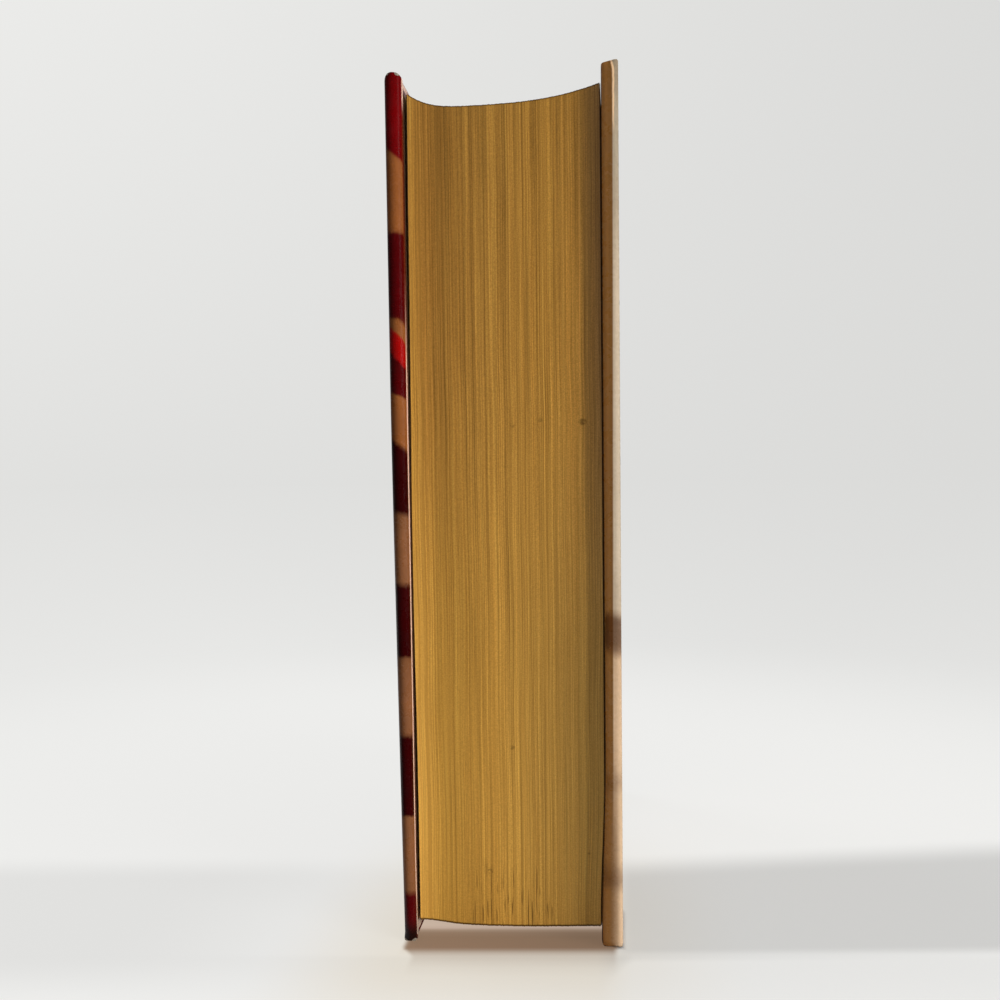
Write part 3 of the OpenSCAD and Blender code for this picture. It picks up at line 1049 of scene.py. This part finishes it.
def back_print(colours):
    """Gloss-laminated art paper in cream, with soft brown clouds and a brown border."""
    made, node, surface, u, v, sheet = printed_paper("gloss_laminated_print_back")
    cloud = node("Noise", sheet, 0.022, 2.0, 0.45)
    # The border grows broad and soft on the head, the tail and the joint, and is narrow on the fore edge
    border = node("MINIMUM", node("MINIMUM", v, CASE_HEIGHT - v), 124.0 - u) + (cloud - 0.5) * 14.0
    border = border.soft(26.0, 0.0) * u.soft(2.0, 20.0) * 0.45
    corner = u.soft(4.0, 0.0) * v.soft(194.0, 202.0) * 0.5
    brown = node("MAXIMUM", node("MAXIMUM", cloud.soft(0.4, 0.75) * 0.3, border), corner)
    # Round the fore edge it is brown, partly print and partly painted shade, with a soft limit near the tail,
    # and darkest along that limit
    edge = (190.0 - v) * 0.005 + u
    turn = edge.soft(0.9, -2.0) * v.soft(60.0, 20.0) + edge.soft(-1.1, -1.5) * v.soft(20.0, 60.0)
    dark = node("Shade", 1.0, colours.brown, node("Ramp", u / -5.0, stops=greys(BROWN_EDGE_SHADE)))
    cream = node("Mix", u.soft(9.0, 2.0) * v.soft(84.0, 70.0), colours.cream, linear("#cfb08f"))
    tone = node("Mix", node("MAXIMUM", brown, turn), cream, dark)
    # Towards the head the cream is dulled to a grey tan, and a painted highlight runs in a thin line along the
    # limit
    dull = u.soft(-1.7, -0.9) * u.soft(5.0, 0.5) * v.soft(150.0, 192.0) * 0.6
    tone = node("Mix", dull, tone, linear("#7f7562"))
    uneven = node("Noise", sheet, 0.3) * 0.7 + (u - 0.35)
    highlight_line = uneven.soft(-1.5, -1.2) * uneven.soft(-0.7, -1.0) * v.soft(188.0, 195.0) * 0.8
    tone = node("Mix", highlight_line, tone, linear("#e8c096"))
    place = (node("Noise", sheet, 0.11) * 4.0 + v) / CASE_HEIGHT
    spots = node("Ramp", place, stops=greys([(height / CASE_HEIGHT, value) for height, value in PATCHES]))
    spots.socket.node.color_ramp.interpolation = "EASE"
    tone = node("Mix", spots * u.soft(15.0, 5.0), tone, linear("#4a260b"))
    tone = mottled(node, tone, node("Noise", sheet, 0.8, 3.0, 0.6), 0.93, 1.04)
    # The very foot of it is darkened, partly soiling from standing on a shelf and partly painted contact shade
    tone = node("Mix", v.soft(1.0, 0.4) * u.soft(5.0, 1.0) * 0.8, tone, linear("#2a1608"))
    laminate(node, surface, turned_in(node, tone, 0.0, linear("#3a1a0c")), sheet)
    return made


# Spine and joints


def spine_path():
    """Outside of the case spine in plan, from the +X joint to the crest: points (x, y) in millimetres."""
    turn_r = 1.5
    turn_x = GROOVE_X - turn_r
    turn_y = SPINE_C + math.sqrt((CASE_R - turn_r) ** 2 - turn_x**2)
    points = [(GROOVE_X, CREST_Y - 0.05), (GROOVE_X, (CREST_Y + turn_y) / 2), (GROOVE_X, turn_y)]
    last = math.atan2(turn_y - SPINE_C, turn_x)
    for i in range(1, 9):
        a = last * i / 8
        points.append((turn_x + turn_r * math.cos(a), turn_y + turn_r * math.sin(a)))
    for i in range(1, 25):
        a = last + (math.pi / 2 - last) * i / 24
        points.append((CASE_R * math.cos(a), SPINE_C + CASE_R * math.sin(a)))
    return points


def path_frame(points):
    """Places, outward normals and distances along a path in plan."""
    points = np.array(points, float)
    run = np.gradient(points, axis=0)
    run /= np.linalg.norm(run, axis=1)[:, None]
    normal = np.stack([run[:, 1], -run[:, 0]], 1)
    steps = np.linalg.norm(np.diff(points, axis=0), axis=1)
    return points, normal, np.concatenate([[0], np.cumsum(steps)])


class BOOK_OT_spine(bpy.types.Operator):
    """Lays the printed paper over the spine and folds it in at the head and the tail"""

    bl_idname = "book.spine"
    bl_label = "Spine"

    def execute(self, context):
        sizes = context.scene.book_sizes
        half = spine_path()
        whole = half + [(-x, y) for x, y in reversed(half[:-1])]
        place, normal, along = path_frame(whole)

        # Section through the head, as (depth, how far in): turn-in, fold over the card, outer face
        fold_r = 0.7
        turn_in = sizes.turn_in / MM
        rows = [(depth, 1.0) for depth in (turn_in, turn_in * 0.6, turn_in * 0.25, 2.0)]
        for i in range(9):
            a = math.pi * i / 8
            rows.append((fold_r * (1 - math.sin(a)), (1 + math.cos(a)) / 2))
        rows += [(depth, 0.0) for depth in (1.6, 3.0, 6.0, *np.linspace(12, CASE_HEIGHT / 2, 10))]
        rows += [(CASE_HEIGHT - z, s) for z, s in reversed(rows[:-1])]
        height = np.array([z for z, _ in rows])
        inner = np.array([s for _, s in rows])
        fold_run = np.concatenate([[0], np.cumsum(np.hypot(np.diff(height), np.diff(inner) * 2 * fold_r))])
        v_rows = fold_run - fold_run[4] + height[4]

        obj = add_sheet("spine_print", len(whole) - 1, len(rows) - 1)
        flat = points_of(obj)
        i = np.round(flat[:, 0] * (len(whole) - 1)).astype(int)
        j = np.round(flat[:, 1] * (len(rows) - 1)).astype(int)
        # Past the ends of the card strip in the spine the fold closes up
        card = 1 - 0.62 * eased((np.abs(place[:, 0]) - INLAY_HIGH[0]) / 2.5)
        sink = inner[j] * 2 * fold_r * card[i]
        xy = place[i] - normal[i] * sink[:, None]
        set_points(obj, np.column_stack([xy, height[j]]) * MM)
        set_print(obj, 134 + along[-1] - along[i], v_rows[j])
        ends = np.minimum(height, CASE_HEIGHT - height)
        rim = np.exp(-ends / 0.9) * (1 - 0.7 * inner)
        side_rub = np.exp(-np.abs(np.abs(place[:, 0]) - GROOVE_X) / 0.8)
        attribute(obj, "wear", np.clip(0.7 * rim[j] + 0.45 * side_rub[i] * (1 - inner[j]), 0, 1))
        self.face_out(obj)
        modify(obj, "SOLIDIFY", thickness=sizes.paper, offset=-1)
        smooth(obj, 35)
        obj.data.materials.append(bpy.data.materials["gloss_laminated_print_front"])
        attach(obj, "text_block")
        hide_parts("spine_case_paper")
        return {"FINISHED"}

    def face_out(self, obj):
        """Makes the printed side of the sheet its outside."""
        half = CASE_HEIGHT / 2 * MM
        middle = min(obj.data.polygons, key=lambda p: abs(p.center.x) + abs(p.center.z - half))
        if middle.normal.y < 0:
            in_edit_mode(obj, bpy.ops.mesh.flip_normals)


def joint_path():
    """Outside of a joint in plan, on the +X side: down its lip, through the groove and onto the board."""
    lip_r = 0.55
    points = [(GROOVE_X, CREST_Y + 0.05), (GROOVE_X, CREST_Y - 0.12)]
    for i in range(5):
        a = math.pi / 2 * i / 4
        points.append((GROOVE_X - lip_r * (1 - math.cos(a)), 61.2 - lip_r * math.sin(a)))
    for degrees in range(108, 251, 10):
        a = math.radians(degrees)
        points.append((GROOVE_X + GROOVE_R * math.cos(a), GROOVE_Y + GROOVE_R * math.sin(a)))
    out, edge = COVER_HIGH[0], COVER_HIGH[1]
    slope = [(-1.15, 0.78), (-0.62, 0.12), (-0.22, -0.55), (0.01, -1.4), (0.02, -2.4)]
    return points + [(out + x, edge + y) for x, y in slope]


class BOOK_OT_joints(bpy.types.Operator):
    """Presses the flexible joints that join the spine and the boards, and folds the endpapers behind them"""

    bl_idname = "book.joints"
    bl_label = "Joints"

    def execute(self, context):
        sizes = context.scene.book_sizes
        for word, side in SIDES.items():
            self.outer(word, side, sizes)
            self.inner(word, side, sizes)
        return {"FINISHED"}

    def lay(self, name, path, low_z, high_z, rows, side):
        """Sheet whose plan is a path, standing from one height to another."""
        place, normal, along = path_frame(path)
        obj = add_sheet(name, len(path) - 1, rows)
        flat = points_of(obj)
        i = np.round(flat[:, 0] * (len(path) - 1)).astype(int)
        z = low_z + (high_z - low_z) * flat[:, 1]
        points = np.column_stack([place[i], z])
        points[:, 0] *= side
        set_points(obj, points * MM)
        return obj, along[i], z

    def face(self, obj, side):
        """Makes the side towards the groove, or away from the block, the outside of the sheet."""
        middle = max(obj.data.polygons, key=lambda p: -abs(p.center.y - GROOVE_Y * MM))
        if middle.normal.x * side < 0:
            in_edit_mode(obj, bpy.ops.mesh.flip_normals)

    def outer(self, word, side, sizes):
        """Printed paper of the joint, from the spine to the board."""
        obj, along, z = self.lay(f"{word}_joint_print", joint_path(), 0.05, CASE_HEIGHT - 0.05, 50, side)
        self.face(obj, side)
        length = along.max()
        set_print(obj, 123.4 + length - along, z)
        ends = np.minimum(z, CASE_HEIGHT - z)
        attribute(obj, "wear", 0.55 * np.exp(-ends / 0.8) + 0.25 * np.exp(-along / 0.7))
        modify(obj, "SOLIDIFY", thickness=0.45 * MM, offset=-1)
        smooth(obj, 40)
        obj.data.materials.append(bpy.data.materials[f"gloss_laminated_print_{word}"])
        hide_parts(f"{word}_joint")
        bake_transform(obj)

    def inner(self, word, side, sizes):
        """Fold of the endpaper, from the flyleaf to the pastedown."""
        leaf = FLYLEAF_LOW[0] + 0.11
        down = PASTEDOWN_LOW[0] + 0.12
        path = [(leaf, 57.2), (leaf, 57.9), (leaf + 0.06, 58.3), ((leaf + down) / 2, 58.5)]
        path += [(down - 0.06, 58.3)] + [(down, y) for y in (57.9, 57.0, 56.0, 55.0, 54.4, 53.7)]
        obj, along, z = self.lay(f"{word}_endpaper_hinge", path, LEAF_Z + 0.1, LEAF_TOP - 0.1, 50, side)
        self.face(obj, side)
        set_print(obj, along + 130, z)
        modify(obj, "SOLIDIFY", thickness=sizes.endpaper, offset=0)
        smooth(obj, 40)
        obj.data.materials.append(bpy.data.materials["uncoated_endpaper"])
        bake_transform(obj)


# Linings that stay as CAD solids


def cloth_material(colours):
    """Starched open-weave cotton: matt threads with dark gaps between them."""
    made, node, surface = material("open_weave_mull")
    place = object_mm(node)
    # Threads lie 0.8 mm apart, half as far again as they are, so that they show
    turns = [node("SeparateXYZ", place, output=i) * (math.pi / 0.8) for i in range(3)]
    x, y, z = (abs(node("SINE", turn)) for turn in turns)
    weave = node("MAXIMUM", x, y) * z
    tone = node("Mix", weave.soft(0.1, 0.5), linear("#9a8a68"), colours.cloth)
    relief = node("Bump", weave, 0.15 * MM, 0.8)
    give(surface, Base_Color=tone, Roughness=0.9, Sheen_Weight=0.2, Normal=relief)
    return made


def kraft_material(colours):
    """Unbleached kraft paper: brown, matt and finely flecked."""
    made, node, surface = material("kraft_liner_paper")
    fleck = node("Noise", object_mm(node), 1.4, 4.0, 0.7)
    tone = mottled(node, colours.kraft, fleck, 0.8, 1.12)
    give(surface, Base_Color=tone, Roughness=0.8, Normal=node("Bump", fleck, 0.03 * MM, 0.7))
    return made


def board_material(colours):
    """Grey board pressed from waste paper: matt, with mixed fibres and specks."""
    made, node, surface = material("pressed_grey_board")
    place = object_mm(node)
    fibre = node("Noise", place, 1.1, 5.0, 0.75)
    speck = node("Noise", place, 3.0, 1.0).soft(0.68, 0.74) * 0.6
    tone = node("Mix", speck, mottled(node, colours.board, fibre, 0.78, 1.15), linear("#4e463c"))
    give(surface, Base_Color=tone, Roughness=0.92, Normal=node("Bump", fibre, 0.08 * MM, 0.8))
    return made


class BOOK_OT_linings(bpy.types.Operator):
    """Gives the hidden cloth, kraft paper and board their materials"""

    bl_idname = "book.linings"
    bl_label = "Linings"

    def execute(self, context):
        colours = context.scene.book_colours
        finishes = {
            ("spine_mull", "front_mull", "back_mull"): cloth_material(colours),
            ("spine_liner",): kraft_material(colours),
            ("spine_inlay",): bpy.data.materials["pressed_grey_board"],
        }
        for nodes, finish in finishes.items():
            for node in nodes:
                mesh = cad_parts[node].data
                mesh.materials.clear()
                mesh.materials.append(finish)
        return {"FINISHED"}


# Stage


def lamp(name, place, power, colour):
    """Square lamp, aimed at the middle of the book, which shows in no reflection."""
    bpy.ops.object.select_all(action="DESELECT")
    bpy.ops.object.light_add(type="AREA", location=place)
    made = bpy.context.active_object
    made.name = made.data.name = name
    aim = Vector((0, 0, 0.1))
    made.rotation_euler = (aim - Vector(place)).to_track_quat("-Z", "Y").to_euler()
    made.data.size = 0.5
    made.data.energy = power
    made.data.color = colour[:3]
    made.visible_glossy = False


# Brightness of the background that the camera sees on the right, and how much more the left has
BACK_LEVEL, BACK_LEFT = 0.708, 0.044

# Paper under the leaves: bright at the back, where the light comes through, and brown in front
UNDER = [(0.25, "#c9b4a2"), (0.34, "#c2ab9a"), (0.41, "#a18a76")]
UNDER += [(0.49, "#8e7661"), (0.62, "#876f5a"), (1.0, "#8a705b")]

# How the shade under the leaves ends in front of the book, from 70 mm to 86 mm ahead of its middle
FADE = [(0.11, 1.0), (0.22, 0.62), (0.33, 0.37), (0.52, 0.2), (0.72, 0.07), (1.0, 0.0)]


class BOOK_OT_stage(bpy.types.Operator):
    """Sets up a plain pale floor, soft studio light and the camera"""

    bl_idname = "book.stage"
    bl_label = "Stage"

    def execute(self, context):
        light = context.scene.book_light
        self.floor(context.scene.book_colours)
        lamp("key_lamp", (0.78, -0.57, 0.13), light.key, linear("#fffdfa"))
        lamp("fill_lamp", (-0.85, 0.6, 0.45), light.fill, linear("#ffffff"))
        self.world(context.scene, light)
        self.camera(context.scene, light)
        return {"FINISHED"}

    def floor(self, colours):
        """Pale paper floor, which the camera sees lighter than it lights the book, except in its shadows."""
        bpy.ops.object.select_all(action="DESELECT")
        bpy.ops.mesh.primitive_grid_add(x_subdivisions=16, y_subdivisions=16, size=60)
        obj = bpy.context.active_object
        obj.name = obj.data.name = "paper_floor"
        made, node, surface = material("matt_paper_floor")
        place = node("TexCoord", output="Object")
        x, y = [node("SeparateXYZ", place, output=i) for i in (0, 1)]
        # Distance in front of the book, along the line of sight
        ahead = x * 0.0925 - y
        beneath = y.soft(0.0705, 0.0675)
        # Painted shade: the paper under the book is darker and browner
        under = abs(x).soft(0.0265, 0.0245) * ahead.soft(0.0755, 0.0715) * beneath
        paper = node("Mix", under, colours.floor, linear("#c3a78f"))
        give(surface, Base_Color=paper, Roughness=0.9, Specular_IOR_Level=0.1)
        # Glow on top of the lit paper, none of it under the book
        close = ahead.soft(0.05, 0.044) * 0.0014 + x
        clear = node("MAXIMUM", x.soft(-0.0238, -0.0256), close.soft(0.0266, 0.028))
        clear = node("MAXIMUM", node("MAXIMUM", clear, ahead.soft(0.0702, 0.0722)), 1.0 - beneath)
        # A band of soft shade runs out from both sides of the book, broader on its left
        right, left = x.soft(0.02, 0.03), x.soft(-0.03, -0.1)
        behind = node("MAXIMUM", x, 0.03) * 0.13 + ahead
        band = (x * 0.03 + ahead).soft(right * -0.0197 + 0.1, 0.0718) * behind.soft(0.008, 0.030)
        front = ahead.soft(0.0735, 0.077) * x.soft(-0.1, 0.04) * ahead.soft(0.125, 0.078)
        glow = 0.955 - band * (left * 0.08 + (right * 0.25 + 0.04)) - front * 0.085
        # Light off the leaves warms the paper in front of them, and a little beside them
        warm = abs(x).soft(0.06, 0.022) * ahead.soft(0.13, 0.08) * ahead.soft(-0.03, 0.06)
        warm = warm * (right * -0.45 + 0.9)
        near = node("Emission", node("Mix", warm, linear("#fffffd"), linear("#f8f0e1")), glow)
        lit = node("MixShader", clear * 0.8, surface, near)
        # The shade under the leaves ends softly in front of the book, and draws in a little there
        depth = node("Ramp", ahead * 50.0 - 2.6, stops=[(place, linear(text)) for place, text in UNDER])
        shade = node("Emission", depth, x * -4.6 + 1.03)
        fade = node("Ramp", node("MapRange", ahead, 0.07, 0.086), stops=greys(FADE))
        drawn = node("MAXIMUM", x, ahead.soft(0.0695, 0.0765) * 0.003 - x)
        lit = node("MixShader", drawn.soft(0.0262, 0.0243) * (fade * beneath) * 0.85, lit, shade)
        # Further off the floor takes the colour of the background
        away = node("SQRT", x * x + y * y)
        level = node("MapRange", 0.2 / (away + 0.05), 0.0, 1.0, BACK_LEVEL, 0.83)
        level = node("MapRange", x / away, 0.3, -0.5) * BACK_LEFT + level
        far = node("Emission", linear("#fffffd"), level)
        seen = node("MixShader", away.soft(0.12, 0.45), lit, far)
        # In front of the book gloss meets a black card, not the pale floor, so that the fore edge stays dark
        card = node("Emission", linear("#ffffff"), 0.02)
        carded = node("LightPath", output="Is Glossy Ray") * y.soft(-0.07, -0.085)
        other = node("MixShader", carded, surface, card)
        whole = node("MixShader", node("LightPath", output="Is Camera Ray"), other, seen)
        end = next(n for n in made.node_tree.nodes if n.bl_idname == "ShaderNodeOutputMaterial")
        put(end.inputs[0], whole)
        obj.data.materials.append(made)

    def world(self, scene, light):
        """Even pale light from all round, dimmer in reflections, with a pale grey background."""
        world = bpy.data.worlds.new("studio")
        scene.world = world
        world.use_nodes = True
        world.node_tree.nodes.clear()
        node = partial(add, world.node_tree)
        way = node("TexCoord", output="Generated")
        x, y, z = [node("SeparateXYZ", way, output=i) for i in range(3)]
        level = node("MapRange", x, 0.3, -0.5) * (z * 0.232 + BACK_LEFT) + BACK_LEVEL
        even = node("Background", linear("#f6f5f4"), light.world)
        seen = node("Background", linear("#fffffd"), level)
        # In reflections the room is dim, apart from one small bright window on the right
        dim = y.soft(-0.2, 0.9) * 0.3 * (z.soft(0.3, 0.7) * -0.8 + 1.0)
        towards = node("VectorMath", way, (0.83, -0.46, 0.31), operation="DOT_PRODUCT", output="Value")
        mirrored = node("Background", linear("#f6f5f4"), towards.soft(0.987, 0.997) * 1.5 + dim)
        glossy = node("MixShader", node("LightPath", output="Is Glossy Ray"), even, mirrored)
        node("OutputWorld", node("MixShader", node("LightPath", output="Is Camera Ray"), glossy, seen))

    def camera(self, scene, light):
        """Camera close before the fore edge, at half its height, looking a little down and to the left."""
        bpy.ops.object.camera_add()
        made = bpy.context.active_object
        made.name = made.data.name = "camera"
        turn = Matrix.Rotation(math.radians(7.26), 4, "Z")
        tip = Matrix.Rotation(math.radians(-3.746), 4, "X")
        roll = Matrix.Rotation(math.radians(0.808), 4, "Y")
        level = Matrix.Rotation(math.pi / 2, 4, "X")
        made.matrix_world = Matrix.Translation((0.0269, -0.32681, 0.11216)) @ turn @ tip @ roll @ level
        made.data.sensor_width = 36
        made.data.lens = light.lens
        made.data.shift_x, made.data.shift_y = 0.02, 0.05
        made.data.clip_start, made.data.clip_end = 0.01, 20
        scene.camera = made
        scene.view_settings.view_transform = "Standard"


class BOOK_PT_panel(bpy.types.Panel):
    """Lists the book's parts and its settings"""

    bl_idname = "BOOK_PT_panel"
    bl_label = "Case-bound book"
    bl_space_type = "VIEW_3D"
    bl_region_type = "UI"
    bl_category = "Book"

    def draw(self, context):
        column = self.layout.column()
        for operator in STEPS:
            column.operator(operator.bl_idname)
        for group in (context.scene.book_sizes, context.scene.book_colours, context.scene.book_light):
            part = self.layout.box().column()
            for name in group.bl_rna.properties.keys():
                if name not in ("rna_type", "name"):
                    part.prop(group, name)


GROUPS = {"book_sizes": BookSizes, "book_colours": BookColours, "book_light": BookLight}
STEPS = [
    BOOK_OT_leaves,
    BOOK_OT_flyleaves,
    BOOK_OT_pastedowns,
    BOOK_OT_bands,
    BOOK_OT_boards,
    BOOK_OT_covers,
    BOOK_OT_spine,
    BOOK_OT_joints,
    BOOK_OT_linings,
    BOOK_OT_stage,
]


def register():
    for group in GROUPS.values():
        bpy.utils.register_class(group)
    for name, group in GROUPS.items():
        setattr(bpy.types.Scene, name, PointerProperty(type=group))
    for made in [*STEPS, BOOK_PT_panel]:
        bpy.utils.register_class(made)


def unregister():
    for made in [BOOK_PT_panel, *reversed(STEPS)]:
        bpy.utils.unregister_class(made)
    for name in GROUPS:
        delattr(bpy.types.Scene, name)
    for group in reversed(list(GROUPS.values())):
        bpy.utils.unregister_class(group)


def main():
    """Makes the book and its stage."""
    register()
    for operator in STEPS:
        section, name = operator.bl_idname.split(".")
        getattr(getattr(bpy.ops, section), name)()


if __name__ == "__main__":
    main()
